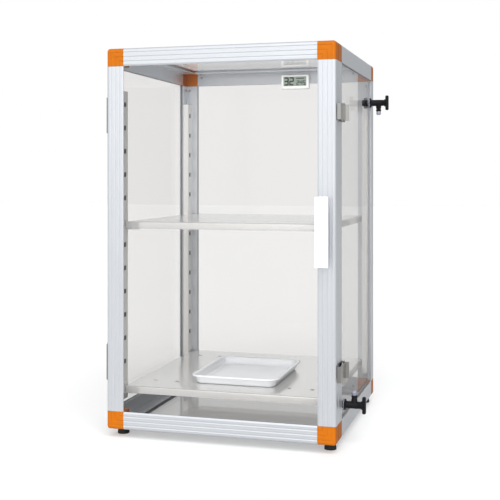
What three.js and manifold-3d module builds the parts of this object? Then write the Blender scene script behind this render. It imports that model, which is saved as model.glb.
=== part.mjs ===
// A framed clear desiccator cabinet for keeping samples dry: an angle-section aluminium frame with
// plastic corner blocks, clear panels held in grooves, a framed clear door on two side hinges with
// two latches and a pull, slotted uprights that carry two folded steel shelves, a gas inlet and a
// gas outlet tap on the right side, a thermo-hygrometer, a sample tray and four feet.
// Millimetres, +Z up, +X to the right, the door faces -Y.
import * as THREE from "three";
import { mergeVertices } from "three/addons/utils/BufferGeometryUtils.js";
import { RoundedBoxGeometry } from "three/addons/geometries/RoundedBoxGeometry.js";
import Module from "manifold-3d";

const wasm = await Module();
wasm.setup();

// ---- Driving dimensions -------------------------------------------------------------------------

const GAP = 0.3; // between touching pieces

// Body frame. The body's front plane is y = 0 and its underside is z = 0 while the parts are made.
const WIDTH = 392;
const BODY_DEPTH = 369;
const HEIGHT = 640;
const BEAM = 30; // width of an angle's legs, and the size of a corner block
const LEG = 7; // thickness of an angle's legs
const FRONT_LAND = 20; // width of the front frame's seal land, behind the door
const EDGE_RADIUS = 5;

// Clear panels, held in grooves in the legs' free edges.
const PANEL = 4;
const PANEL_INSERT = 7;
const GROOVE_SPARE = 1; // groove depth behind a panel's edge

// Door.
const DOOR_THICKNESS = 17;
const SEAL_GAP = 2; // between the door and the body
const SEAL_WIDTH = 10;
const SEAL_INSET = 6;
const DOOR_LIP = 2.2; // thickness of the members' front lip, which the pane lies behind
const DOOR_CHAMFER = [2.5, 1.3]; // width and depth of the bevel along the lip's edge
const DOOR_BEAD = [4, 1.5]; // the bead behind the pane: how much shorter than the lip, and how thick
const DOOR_WEB = 20; // width of the members behind the pane
const FLUTE_PITCH = 7.5; // of the flutes along the members' front faces
const FLUTE_WIDTH = 3;
const FLUTE_DEPTH = 0.6;

const HANDLE_HEIGHT = 110;
const HANDLE_WIDTH = 21;
const HANDLE_REACH = 25;
const HANDLE_PLATE = 2.5;
const HANDLE_LIP = 7; // how far the front plate's free edge turns back
const HANDLE_SIDE_INSET = 18.5; // from the door's right edge to the handle's middle
const HANDLE_RISE = 18; // from the door's middle up to the handle's

// Hinges, on the left side.
const HINGE_HEIGHT = 60;
const HINGE_INSET = 112; // from the frame's top and bottom to a hinge's middle
const HINGE_LEAF = 1.6;
const HINGE_REACH = 14; // leaf width on each side
const KNUCKLE_RADIUS = 3.2;
const PIN_RADIUS = 1.4;
const PIN_CLEARANCE = 0.3;

// Latches, on the right side.
const LATCH_HEIGHT = 26;
const LATCH_INSET = 112;
const LATCH_STANDOFF = 5.5; // from the side face to the lever's inner face
const LATCH_PLATE = 1.5;
const LATCH_BASE = 0.9; // thickness of the plate that the pin's ears stand on
const LATCH_BARREL_WALL = 0.8;
const LATCH_PIVOT_INSET = 3; // from the corner post's rear edge to the pin
const LATCH_TIP_INSET = 3; // from the door's front face to the lever's end
const LATCH_LIP_CLEARANCE = 1.2; // between the lever's lip and the door's side
const LATCH_TAB = 5;
const LATCH_EAR = 2;
const LATCH_EAR_DEPTH = 8;
const LATCH_BASE_INSET = 3; // from the body's front to the base plate

// Slotted uprights and shelves.
const UPRIGHT_FACE = 18; // from the body's side to the uprights' slotted faces
const UPRIGHT_DEPTH = 22;
const UPRIGHT_PLATE = 1.5;
const UPRIGHT_BOTTOM = 44;
const UPRIGHT_TOP = HEIGHT - 69;
const SLOT_PITCH = 40;
const SLOT_FIRST = 68;
const SLOT_END_GAP = 16; // least height between the last slot's middle and the upright's top
const SLOT_WIDTH = 10;
const SLOT_HEIGHT = 8;
const SLOT_COUNT = 1 + Math.floor((UPRIGHT_TOP - SLOT_END_GAP - SLOT_FIRST) / SLOT_PITCH);
const SHELF_SLOTS = { lower: 0, upper: Math.ceil(SLOT_COUNT / 2) };
const CLIP_WIDTH = 8;
const CLIP_REACH = 24;
const CLIP_PLATE = 1.6;
const CLIP_HOOK = 1; // height of a clip above its slot
const SHELF_PLATE = 1.2;
const SHELF_LIP = 12;
const SHELF_END_GAP = 2; // from the frame's legs to the shelf's front and back lips
const SHELF_SIDE_GAP = 2;
const VENT_RADIUS = 4;
const VENT_PITCH = 40;
const VENT_END_INSET = 20; // least distance from a shelf's end to a vent's middle
const VENT_ROW_INSET = 55;

// Taps, on the right panel.
const TAP_REACH = 37;
const TAP_HOLE_RADIUS = 6.6;
const TAP_HOLE_CLEARANCE = 0.5;
const TAP_SPIGOT = 9; // how far the threaded end reaches in from the panel
const TAP_FLANGE = 3.2;
const TAP_FLANGE_RADIUS = 9;
const TAP_BARREL_RADIUS = 6;
const TAP_PLUG_RADIUS = 3;
const TAP_SOCKET = 5.5; // depth of the plug's socket in the barrel
const TAP_OUTLET_X = 18; // from the panel to the hose outlet's axis
const TAP_CAP = 3; // thickness of the cap that the cross bar stands on
const TAP_BAR = [6, 8, 28];
const TAP_BAR_SUNK = 1; // how far the cross bar is let into the cap
const HOSE_BORE_RADIUS = 1.8;
const TAP_INSET = 24; // from the frame's inner edge to a tap's axis
const TAPS = [
  { name: "outlet_tap", y: BODY_DEPTH - BEAM - 15, z: HEIGHT - BEAM - 45, up: false },
  { name: "inlet_tap", y: BEAM + TAP_INSET, z: BEAM + 20, up: true },
];

// Small items.
const FOOT_HEIGHT = 14;
const FOOT_RADIUS = 10;
const FOOT_NECK = 7.5;
const FOOT_RIM = 3;
const FOOT_INSET = 16;
const METER = { width: 57, height: 29, depth: 11, x: 42, drop: 13, radius: 3 };
const METER_DISPLAY = { side: 5, below: 6, above: 4, sunk: 1 }; // its margins and its depth
const TRAY = { width: 157, depth: 190, height: 15, wall: 2, rim: 6, corner: 22, x: 4, setback: 51 };

// ---- Materials ----------------------------------------------------------------------------------

function material(color, roughness, metalness, opacity = 1) {
  const transparent = opacity < 1;
  return new THREE.MeshStandardMaterial({ color, roughness, metalness, opacity, transparent });
}

const aluminium = material(0xdfe3ea, 0.35, 0.9);
const cornerPlastic = material(0xe07f1e, 0.5, 0);
const clearSheet = material(0xe8eeee, 0.05, 0, 0.3);
const stainless = material(0xc9c6c0, 0.3, 1);
const whitePlastic = material(0xf2f3f5, 0.4, 0);
const blackPlastic = material(0x1c1c1e, 0.45, 0);
const rubber = material(0x161616, 0.85, 0);

// ---- Geometry helpers ---------------------------------------------------------------------------

const X = new THREE.Vector3(1, 0, 0);
const Y = new THREE.Vector3(0, 1, 0);
const Z = new THREE.Vector3(0, 0, 1);
const AXES = [X, Y, Z];

// A closed geometry as a manifold-3d solid.
function solid(geometry) {
  const faces = geometry.index ? geometry.toNonIndexed() : geometry;
  const bare = new THREE.BufferGeometry();
  bare.setAttribute("position", faces.getAttribute("position"));
  const merged = mergeVertices(bare, 1e-4);
  const triVerts = new Uint32Array(merged.index.array);
  const vertProperties = merged.getAttribute("position").array;
  return new wasm.Manifold(new wasm.Mesh({ numProp: 3, vertProperties, triVerts }));
}

// A manifold-3d solid as a flat-shaded geometry.
function geometryOf(body) {
  const { numProp, vertProperties, triVerts } = body.getMesh();
  const geometry = new THREE.BufferGeometry();
  geometry.setAttribute("position", new THREE.BufferAttribute(vertProperties, numProp));
  geometry.setIndex(new THREE.BufferAttribute(triVerts, 1));
  const flat = geometry.toNonIndexed();
  flat.computeVertexNormals();
  return flat;
}

function union(...geometries) {
  return geometryOf(geometries.map(solid).reduce((sum, next) => sum.add(next)));
}

function difference(geometry, ...cutters) {
  return geometryOf(cutters.map(solid).reduce((rest, cut) => rest.subtract(cut), solid(geometry)));
}

// A box between two corners, each given as [x, y, z].
function block(low, high) {
  const size = high.map((value, i) => value - low[i]);
  const middle = high.map((value, i) => (value + low[i]) / 2);
  return new THREE.BoxGeometry(...size).translate(...middle);
}

// A straight prism of an outline along +Z.
function prism(outline, length) {
  return new THREE.ExtrudeGeometry(outline, { depth: length, bevelEnabled: false, curveSegments: 4 });
}

// Puts a geometry's own X and Y along two given directions, with its origin at a point.
function place(geometry, origin, along, across) {
  const third = new THREE.Vector3().crossVectors(along, across);
  const basis = new THREE.Matrix4().makeBasis(along, across, third);
  return geometry.applyMatrix4(basis.setPosition(origin));
}

// A solid of revolution about +X, from [radius, x] points that start and end on the axis.
function turned(points, segments) {
  const profile = points.map(([radius, x]) => new THREE.Vector2(radius, x));
  return new THREE.LatheGeometry(profile, segments).rotateZ(-Math.PI / 2);
}

function polygon(points) {
  return new THREE.Shape(points.map(([x, y]) => new THREE.Vector2(x, y)));
}

function rectangle(left, low, right, high) {
  return polygon([[left, low], [right, low], [right, high], [left, high]]);
}

function roundHole(outline, x, y, radius) {
  const hole = new THREE.Path();
  hole.absarc(x, y, radius, 0, 2 * Math.PI, true);
  outline.holes.push(hole);
}

function mesh(name, geometry, look) {
  const piece = new THREE.Mesh(geometry, look);
  piece.name = name;
  return piece;
}

// ---- Frame sections -----------------------------------------------------------------------------

// The rounded outer edge, from the face along y to the face along x.
function roundedEdge() {
  const steps = 4;
  const points = [];
  for (let i = 0; i <= steps; i++) {
    const angle = Math.PI + (i / steps) * (Math.PI / 2);
    points.push([EDGE_RADIUS * (1 + Math.cos(angle)), EDGE_RADIUS * (1 + Math.sin(angle))]);
  }
  return points;
}

// A panel groove across the free edge of a leg, as [distance from the outer face, depth] pairs.
function groove(start) {
  const depth = PANEL_INSERT + GROOVE_SPARE;
  const end = start + PANEL + 2 * GAP;
  return [[start, 0], [start, depth], [end, depth], [end, 0]];
}

// An angle with its outer corner at the origin. The leg along x lies on the face y = 0, and the
// leg along y on the face x = 0. Each leg is { width, grooved }.
function angleOutline(legX, legY) {
  const grooveStart = (LEG - PANEL) / 2 - GAP;
  const cutX = legX.grooved ? groove(grooveStart).map(([y, d]) => [legX.width - d, y]) : [];
  const cutY = legY.grooved ? groove(grooveStart).map(([x, d]) => [x, legY.width - d]) : [];
  return polygon([
    ...roundedEdge(),
    [legX.width, 0],
    ...cutX,
    [legX.width, LEG],
    [LEG, LEG],
    [LEG, legY.width],
    ...cutY.reverse(),
    [0, legY.width],
  ]);
}

// ---- Body frame ---------------------------------------------------------------------------------

const BODY_LOW = [-WIDTH / 2, 0, 0];
const BODY_HIGH = [WIDTH / 2, BODY_DEPTH, HEIGHT];
const SIDES = [["left", "right"], ["front", "back"], ["bottom", "top"]];
const MEMBER_NAMES = [
  (y, z) => `${z}_${y}_rail`,
  (z, x) => `${z}_${x}_rail`,
  (x, y) => `${y}_${x}_post`,
];

function inward(axis, high) {
  return AXES[axis].clone().multiplyScalar(high ? -1 : 1);
}

function legOn(axis, high) {
  const front = axis === 1 && !high;
  return { width: front ? FRONT_LAND : BEAM, grooved: !front };
}

// The frame member along one axis, on a low or high side of each of the two other axes.
function frameMember(axis, highB, highC) {
  const b = (axis + 1) % 3;
  const c = (axis + 2) % 3;
  const along = inward(b, highB);
  const across = inward(c, highC);
  const setback = BEAM + GAP;
  const runsUp = highB === highC;
  const start = new THREE.Vector3();
  start.setComponent(axis, runsUp ? BODY_LOW[axis] + setback : BODY_HIGH[axis] - setback);
  start.setComponent(b, (highB ? BODY_HIGH : BODY_LOW)[b]);
  start.setComponent(c, (highC ? BODY_HIGH : BODY_LOW)[c]);
  const outline = angleOutline(legOn(c, highC), legOn(b, highB));
  const length = BODY_HIGH[axis] - BODY_LOW[axis] - 2 * setback;
  const name = MEMBER_NAMES[axis](SIDES[b][Number(highB)], SIDES[c][Number(highC)]);
  return mesh(name, place(prism(outline, length), start, along, across), aluminium);
}

// A corner block with its outer corner at the origin: rounded outside, hollow on its inner side.
function cornerGeometry(size) {
  const round = new RoundedBoxGeometry(...size.map((side) => 2 * side), 3, EDGE_RADIUS);
  const outer = solid(round.translate(...size)).intersect(solid(block([-1, -1, -1], size)));
  return geometryOf(outer);
}

function bodyCorner(highX, highY, highZ) {
  const far = BEAM + 1;
  const hollow = block([LEG, LEG, LEG], [far, far, far]);
  const shape = difference(cornerGeometry([BEAM, BEAM, BEAM]), hollow);
  const directions = [inward(0, highX), inward(1, highY), inward(2, highZ)];
  const flips = Number(highX) + Number(highY) + Number(highZ);
  const [along, across] = flips % 2 ? [directions[1], directions[0]] : directions;
  const at = [highX, highY, highZ].map((high, axis) => (high ? BODY_HIGH : BODY_LOW)[axis]);
  const words = [highZ, highY, highX].map((high, i) => SIDES[2 - i][Number(high)]);
  const origin = new THREE.Vector3(...at);
  return mesh(`${words.join("_")}_corner`, place(shape, origin, along, across), cornerPlastic);
}

function bodyFrame() {
  const pieces = [];
  for (const first of [false, true]) {
    for (const second of [false, true]) {
      for (const axis of [0, 1, 2]) pieces.push(frameMember(axis, first, second));
      pieces.push(bodyCorner(false, first, second), bodyCorner(true, first, second));
    }
  }
  return pieces;
}

// ---- Panels -------------------------------------------------------------------------------------

// A sheet in a grooved frame of the given outer size, with its corners cut clear of the blocks.
function sheetOutline(width, height) {
  const inset = BEAM - PANEL_INSERT;
  const notch = BEAM + GAP;
  const quarter = [[inset, notch], [notch, notch], [notch, inset]];
  const flip = ([x, y]) => [width - x, y];
  const lift = ([x, y]) => [x, height - y];
  return polygon([
    ...quarter,
    ...quarter.map(flip).reverse(),
    ...quarter.map(flip).map(lift),
    ...quarter.map(lift).reverse(),
  ]);
}

const PANEL_SETBACK = (LEG - PANEL) / 2;

function sidePanel(name, x) {
  const outline = sheetOutline(BODY_DEPTH, HEIGHT);
  if (x > 0) for (const tap of TAPS) roundHole(outline, tap.y, tap.z, TAP_HOLE_RADIUS);
  return mesh(name, place(prism(outline, PANEL), new THREE.Vector3(x, 0, 0), Y, Z), clearSheet);
}

function backPanel() {
  const start = new THREE.Vector3(-WIDTH / 2, BODY_DEPTH - PANEL_SETBACK, 0);
  return mesh("back_panel", place(prism(sheetOutline(WIDTH, HEIGHT), PANEL), start, X, Z), clearSheet);
}

function levelPanel(name, z) {
  const start = new THREE.Vector3(-WIDTH / 2, 0, z);
  return mesh(name, place(prism(sheetOutline(WIDTH, BODY_DEPTH), PANEL), start, X, Y), clearSheet);
}

function panels() {
  return [
    sidePanel("left_panel", -WIDTH / 2 + PANEL_SETBACK),
    sidePanel("right_panel", WIDTH / 2 - PANEL_SETBACK - PANEL),
    backPanel(),
    levelPanel("bottom_panel", PANEL_SETBACK),
    levelPanel("top_panel", HEIGHT - PANEL_SETBACK - PANEL),
  ];
}

// ---- Door ---------------------------------------------------------------------------------------

const DOOR_BACK = -SEAL_GAP;
const DOOR_FRONT = DOOR_BACK - DOOR_THICKNESS;

// Flute corners across a member's front face, as [along, depth] pairs counted from its outer edge.
function flutes() {
  const points = [];
  for (let at = FLUTE_PITCH; at + FLUTE_WIDTH < BEAM; at += FLUTE_PITCH) {
    const half = FLUTE_WIDTH / 2;
    const floor = half / 3;
    points.push([at - half, 0], [at - floor, FLUTE_DEPTH], [at + floor, FLUTE_DEPTH], [at + half, 0]);
  }
  return points;
}

// Across the door's edge along x and through its thickness along y, from its outer front corner.
function doorOutline() {
  const [chamfer, bevel] = DOOR_CHAMFER;
  const [shorter, thickness] = DOOR_BEAD;
  const [grooveFront, grooveFloor, , grooveBack] = groove(DOOR_LIP);
  const bead = BEAM - shorter;
  const behind = grooveBack[0] + thickness;
  return polygon([
    ...roundedEdge(),
    ...flutes(),
    [BEAM - chamfer, 0],
    [BEAM, bevel],
    [BEAM, grooveFront[0]],
    [BEAM - grooveFloor[1], grooveFront[0]],
    [BEAM - grooveFloor[1], grooveBack[0]],
    [bead, grooveBack[0]],
    [bead, behind],
    [DOOR_WEB, behind],
    [DOOR_WEB, DOOR_THICKNESS],
    [0, DOOR_THICKNESS],
  ]);
}

function doorFrame() {
  const side = WIDTH / 2;
  const setback = BEAM + GAP;
  const upright = HEIGHT - 2 * setback;
  const level = WIDTH - 2 * setback;
  const down = Z.clone().negate();
  const left = X.clone().negate();
  const at = (x, z) => new THREE.Vector3(x, DOOR_FRONT, z);
  const member = (name, length, origin, along) =>
    mesh(name, place(prism(doorOutline(), length), origin, along, Y), aluminium);
  return [
    member("door_left_stile", upright, at(-side, setback), X),
    member("door_right_stile", upright, at(side, HEIGHT - setback), left),
    member("door_top_rail", level, at(setback - side, HEIGHT), down),
    member("door_bottom_rail", level, at(side - setback, 0), Z),
  ];
}

function doorCorner(right, top) {
  const shape = cornerGeometry([BEAM, DOOR_THICKNESS, BEAM]);
  const origin = new THREE.Vector3(right ? WIDTH / 2 : -WIDTH / 2, DOOR_FRONT, top ? HEIGHT : 0);
  const along = right === top ? inward(0, right) : inward(2, top);
  const name = `door_${SIDES[2][Number(top)]}_${SIDES[0][Number(right)]}_corner`;
  return mesh(name, place(shape, origin, along, Y), cornerPlastic);
}

function doorPane() {
  const start = new THREE.Vector3(-WIDTH / 2, DOOR_FRONT + DOOR_LIP + GAP + PANEL, 0);
  return mesh("door_pane", place(prism(sheetOutline(WIDTH, HEIGHT), PANEL), start, X, Z), clearSheet);
}

function doorSeal() {
  const ring = (inset) => rectangle(inset - WIDTH / 2, inset, WIDTH / 2 - inset, HEIGHT - inset);
  const outline = ring(SEAL_INSET);
  outline.holes.push(ring(SEAL_INSET + SEAL_WIDTH));
  const start = new THREE.Vector3(0, DOOR_BACK + SEAL_GAP - GAP, 0);
  return mesh("door_seal", place(prism(outline, SEAL_GAP - 2 * GAP), start, X, Z), rubber);
}

// A pull bent from one plate: a foot on the stile, a web, and a front plate whose right edge is
// turned back towards the door. Fingers reach in behind it from the right.
function doorHandle() {
  const left = -HANDLE_WIDTH / 2;
  const foot = HANDLE_WIDTH / 2 - 2 * HANDLE_PLATE;
  const outline = polygon([
    [foot, 0],
    [left, 0],
    [left, -HANDLE_REACH],
    [-left, -HANDLE_REACH],
    [-left, HANDLE_LIP - HANDLE_REACH],
    [-left - HANDLE_PLATE, HANDLE_LIP - HANDLE_REACH],
    [-left - HANDLE_PLATE, HANDLE_PLATE - HANDLE_REACH],
    [left + HANDLE_PLATE, HANDLE_PLATE - HANDLE_REACH],
    [left + HANDLE_PLATE, -HANDLE_PLATE],
    [foot, -HANDLE_PLATE],
  ]);
  const x = WIDTH / 2 - HANDLE_SIDE_INSET;
  const low = HEIGHT / 2 + HANDLE_RISE - HANDLE_HEIGHT / 2;
  const start = new THREE.Vector3(x, DOOR_FRONT - GAP, low);
  return mesh("door_handle", prism(outline, HANDLE_HEIGHT).translate(...start), whitePlastic);
}

function door() {
  const corners = [];
  for (const right of [false, true]) {
    for (const top of [false, true]) corners.push(doorCorner(right, top));
  }
  return [...doorFrame(), ...corners, doorPane(), doorSeal(), doorHandle()];
}

// ---- Hinges -------------------------------------------------------------------------------------

const HINGE_X = -WIDTH / 2 - GAP - KNUCKLE_RADIUS;
const HINGE_Y = -SEAL_GAP / 2;

function tube(x, y, low, high, radius, bore) {
  const outline = new THREE.Shape().absarc(0, 0, radius, 0, 2 * Math.PI, false);
  if (bore) roundHole(outline, 0, 0, bore);
  return prism(outline, high - low).translate(x, y, low);
}

// Both leaves lie on the left side. The body's leaf carries the middle knuckle and the pin, and
// the door's leaf the two outer knuckles.
function hinge(level, middle) {
  const low = middle - HINGE_HEIGHT / 2;
  const high = middle + HINGE_HEIGHT / 2;
  const third = HINGE_HEIGHT / 3;
  const outerX = HINGE_X + KNUCKLE_RADIUS - HINGE_LEAF;
  const innerX = HINGE_X + KNUCKLE_RADIUS;
  const clear = KNUCKLE_RADIUS + 2 * GAP;
  const leaf = (from, to, bottom, top) => block([outerX, from, bottom], [innerX, to, top]);
  const bodyLeaf = union(
    leaf(HINGE_Y + clear, HINGE_Y + HINGE_REACH, low, high),
    leaf(HINGE_Y, HINGE_Y + clear + 1, low + third + GAP, high - third - GAP),
    tube(HINGE_X, HINGE_Y, low + third + GAP, high - third - GAP, KNUCKLE_RADIUS),
    tube(HINGE_X, HINGE_Y, low, high, PIN_RADIUS),
  );
  const bore = PIN_RADIUS + PIN_CLEARANCE;
  const knuckles = [[low, low + third], [high - third, high]];
  const doorLeaf = union(
    leaf(HINGE_Y - HINGE_REACH, HINGE_Y - clear, low, high),
    ...knuckles.map(([from, to]) => leaf(HINGE_Y - clear - 1, HINGE_Y - bore, from, to)),
    ...knuckles.map(([from, to]) => tube(HINGE_X, HINGE_Y, from, to, KNUCKLE_RADIUS, bore)),
  );
  return [
    mesh(`${level}_hinge_body_leaf`, bodyLeaf, stainless),
    mesh(`${level}_hinge_door_leaf`, doorLeaf, stainless),
  ];
}

// ---- Latches ------------------------------------------------------------------------------------

const LATCH_X = WIDTH / 2 + LATCH_STANDOFF;
const LATCH_BORE = PIN_RADIUS + PIN_CLEARANCE;
const LATCH_PIN_X = LATCH_X + LATCH_PLATE - LATCH_BORE - LATCH_BARREL_WALL;
const LATCH_PIVOT_Y = BEAM - LATCH_PIVOT_INSET;
const LATCH_TIP_Y = DOOR_FRONT + LATCH_TIP_INSET;

// The lever turns on a pin at its rear end. Its front end is bent in beside the door's edge, and
// a finger tab stands out over the pin.
function latchLever(level, middle) {
  const outer = LATCH_X + LATCH_PLATE;
  const lip = WIDTH / 2 + LATCH_LIP_CLEARANCE;
  const outline = polygon([
    [lip, LATCH_TIP_Y],
    [outer, LATCH_TIP_Y],
    [outer, LATCH_PIVOT_Y],
    [outer + LATCH_TAB, LATCH_PIVOT_Y + LATCH_PLATE],
    [outer + LATCH_TAB, LATCH_PIVOT_Y + 2 * LATCH_PLATE],
    [LATCH_X, LATCH_PIVOT_Y + LATCH_PLATE],
    [LATCH_X, LATCH_TIP_Y + LATCH_PLATE],
    [lip, LATCH_TIP_Y + LATCH_PLATE],
  ]);
  const low = middle - LATCH_HEIGHT / 2;
  const plate = prism(outline, LATCH_HEIGHT).translate(0, 0, low);
  const high = low + LATCH_HEIGHT;
  const barrel = tube(LATCH_PIN_X, LATCH_PIVOT_Y, low, high, LATCH_BORE + LATCH_BARREL_WALL);
  const bore = tube(LATCH_PIN_X, LATCH_PIVOT_Y, low - 1, high + 1, LATCH_BORE);
  return mesh(`${level}_latch_lever`, difference(union(plate, barrel), bore), stainless);
}

function latchBase(level, middle) {
  const face = WIDTH / 2 + GAP;
  const half = LATCH_HEIGHT / 2 + GAP;
  const top = half + LATCH_EAR;
  const rear = LATCH_PIVOT_Y + PIN_RADIUS;
  const plate = block([face, LATCH_BASE_INSET, middle - top], [face + LATCH_BASE, rear, middle + top]);
  const ear = (low) => block([face, rear - LATCH_EAR_DEPTH, low], [LATCH_X, rear, low + LATCH_EAR]);
  const pin = tube(LATCH_PIN_X, LATCH_PIVOT_Y, middle - top, middle + top, PIN_RADIUS);
  const shape = union(plate, ear(middle - top), ear(middle + half), pin);
  return mesh(`${level}_latch_base`, shape, stainless);
}

// ---- Uprights and shelves -----------------------------------------------------------------------

function slotHeight(index) {
  return SLOT_FIRST + index * SLOT_PITCH;
}

// A right-hand front upright with its corner at the origin: the slotted leg lies on x = 0 and
// runs along y, and the plain leg crosses its far end. The shelf clips hang in their slots.
function uprightGeometry() {
  const plainWidth = UPRIGHT_FACE - LEG - GAP;
  const face = rectangle(0, UPRIGHT_BOTTOM, UPRIGHT_DEPTH, UPRIGHT_TOP);
  const middle = UPRIGHT_DEPTH / 2;
  for (let i = 0; i < SLOT_COUNT; i++) {
    const [y, z] = [SLOT_WIDTH / 2, SLOT_HEIGHT / 2];
    const centre = slotHeight(i);
    face.holes.push(rectangle(middle - y, centre - z, middle + y, centre + z));
  }
  const slotted = place(prism(face, UPRIGHT_PLATE), new THREE.Vector3(), Y, Z);
  const plain = block([0, UPRIGHT_DEPTH - UPRIGHT_PLATE, UPRIGHT_BOTTOM],
    [plainWidth, UPRIGHT_DEPTH, UPRIGHT_TOP]);
  const clips = Object.values(SHELF_SLOTS).flatMap((slot) => clip(slotHeight(slot), middle));
  return union(slotted, plain, ...clips);
}

// A clip fills its slot, hangs down the upright's face and turns in under the shelf.
function clip(level, middle) {
  const [front, back] = [middle - CLIP_WIDTH / 2, middle + CLIP_WIDTH / 2];
  const hook = SLOT_HEIGHT / 2 + CLIP_HOOK;
  const seat = level - SHELF_LIP;
  return [
    block([-CLIP_PLATE, front, seat - CLIP_PLATE], [UPRIGHT_PLATE / 2, back, level + hook]),
    block([-CLIP_REACH, front, seat - CLIP_PLATE], [0, back, seat]),
  ];
}

function uprights() {
  const shape = uprightGeometry();
  const pieces = [];
  for (const right of [false, true]) {
    for (const back of [false, true]) {
      const name = `${SIDES[1][Number(back)]}_${SIDES[0][Number(right)]}_upright`;
      const x = (right ? 1 : -1) * (WIDTH / 2 - UPRIGHT_FACE);
      const y = back ? BODY_DEPTH - LEG - GAP : LEG + GAP;
      const copy = shape.clone().scale(right ? 1 : -1, back ? -1 : 1, 1).translate(x, y, 0);
      pieces.push(mesh(name, right === back ? turnedInsideOut(copy) : copy, stainless));
    }
  }
  return pieces;
}

// Reverses every face of a mirrored geometry, so that it points outwards again.
function turnedInsideOut(geometry) {
  const position = geometry.getAttribute("position");
  const [a, b] = [new THREE.Vector3(), new THREE.Vector3()];
  for (let i = 0; i < position.count; i += 3) {
    a.fromBufferAttribute(position, i + 1);
    b.fromBufferAttribute(position, i + 2);
    position.setXYZ(i + 1, ...b);
    position.setXYZ(i + 2, ...a);
  }
  geometry.computeVertexNormals();
  return geometry;
}

function shelf(level) {
  const half = WIDTH / 2 - UPRIGHT_FACE - CLIP_PLATE - SHELF_SIDE_GAP;
  const front = LEG + SHELF_END_GAP;
  const back = BODY_DEPTH - LEG - SHELF_END_GAP;
  const bottom = slotHeight(SHELF_SLOTS[level]) - SHELF_LIP + GAP;
  const top = bottom + SHELF_LIP;
  const fold = SHELF_PLATE;
  const outside = block([-half, front, bottom], [half, back, top]);
  const inside = block([fold - half, front + fold, bottom - 1], [half - fold, back - fold, top - fold]);
  const vents = [];
  const columns = 1 + Math.floor((2 * (half - VENT_END_INSET)) / VENT_PITCH);
  for (let column = 0; column < columns; column++) {
    const x = (column - (columns - 1) / 2) * VENT_PITCH;
    for (const y of [front + VENT_ROW_INSET, back - VENT_ROW_INSET]) {
      vents.push(tube(x, y, top - 2 * fold, top + 1, VENT_RADIUS));
    }
  }
  const geometry = difference(outside, inside, ...vents);
  return mesh(`${level}_shelf`, geometry, stainless);
}

// ---- Taps ---------------------------------------------------------------------------------------

// The hose outlet as [radius, height] pairs: a neck, two barbs and a nose around the bore.
const HOSE_END = [
  [0, 0], [5, 0], [5, 10], [4.2, 10], [4.2, 12], [5, 12.4], [4, 15.6], [5, 16], [4, 19.2],
  [4.6, 19.6], [3.4, 23], [HOSE_BORE_RADIUS, 23], [HOSE_BORE_RADIUS, 13], [0, 13],
];

// A plug tap through the panel: a threaded spigot, a flange, a barrel with a hose outlet at right
// angles, and a turning plug with a cross bar.
function tap({ name, y, z, up }) {
  const panelFace = WIDTH / 2 - PANEL_SETBACK;
  const spigot = TAP_HOLE_RADIUS - TAP_HOLE_CLEARANCE;
  const inner = -PANEL - TAP_SPIGOT;
  const flange = GAP + TAP_FLANGE;
  const end = TAP_REACH - TAP_BAR[0] + TAP_BAR_SUNK - TAP_CAP;
  const socket = TAP_PLUG_RADIUS + GAP;
  const barrel = turned([
    [0, inner], [spigot, inner], [spigot, GAP], [TAP_FLANGE_RADIUS, GAP],
    [TAP_FLANGE_RADIUS, flange], [TAP_BARREL_RADIUS, flange + 1], [TAP_BARREL_RADIUS, end],
    [socket, end], [socket, end - TAP_SOCKET], [0, end - TAP_SOCKET],
  ], 16);
  const turn = up ? -Math.PI / 2 : Math.PI / 2;
  const outlet = turned(HOSE_END, 12).rotateY(turn).translate(TAP_OUTLET_X, 0, 0);
  const plugEnd = end - TAP_SOCKET + 1;
  const capBase = end + GAP;
  const cap = turned([
    [0, plugEnd], [TAP_PLUG_RADIUS, plugEnd], [TAP_PLUG_RADIUS, capBase],
    [TAP_BARREL_RADIUS + 1, capBase], [TAP_BARREL_RADIUS + 1, end + TAP_CAP], [0, end + TAP_CAP],
  ], 16);
  const bar = new RoundedBoxGeometry(...TAP_BAR, 1, 2);
  bar.translate(TAP_REACH - TAP_BAR[0] / 2, 0, 0);
  const fix = (geometry) => geometry.translate(panelFace, y, z);
  return [
    mesh(`${name}_body`, fix(union(barrel, outlet)), blackPlastic),
    mesh(`${name}_handle`, fix(union(cap, bar)), blackPlastic),
  ];
}

// ---- Feet, hygrometer and tray ------------------------------------------------------------------

function feet() {
  const top = FOOT_HEIGHT - GAP;
  const profile = [[0, 0], [FOOT_RADIUS, 0], [FOOT_RADIUS, FOOT_RIM], [FOOT_NECK, top], [0, top]];
  const pieces = [];
  for (const [x, side] of [[-1, "left"], [1, "right"]]) {
    for (const [y, end] of [[FOOT_INSET, "front"], [BODY_DEPTH - FOOT_INSET, "back"]]) {
      const at = [x * (WIDTH / 2 - FOOT_INSET), y, -FOOT_HEIGHT];
      const shape = turned(profile, 16).rotateY(-Math.PI / 2).translate(...at);
      pieces.push(mesh(`${end}_${side}_foot`, shape, rubber));
    }
  }
  return pieces;
}

// A flat case on the back top rail, with its display sunk into the front.
function hygrometer() {
  const { width, height, depth, x, drop, radius } = METER;
  const body = new RoundedBoxGeometry(width, depth, height, 1, radius);
  const { side, below, above, sunk } = METER_DISPLAY;
  const display = block([side - width / 2, -depth, below - height / 2],
    [width / 2 - side, sunk - depth / 2, height / 2 - above]);
  const y = BODY_DEPTH - LEG - GAP - depth / 2;
  const z = HEIGHT - drop - height / 2;
  return mesh("hygrometer", difference(body, display).translate(x, y, z), whitePlastic);
}

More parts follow.
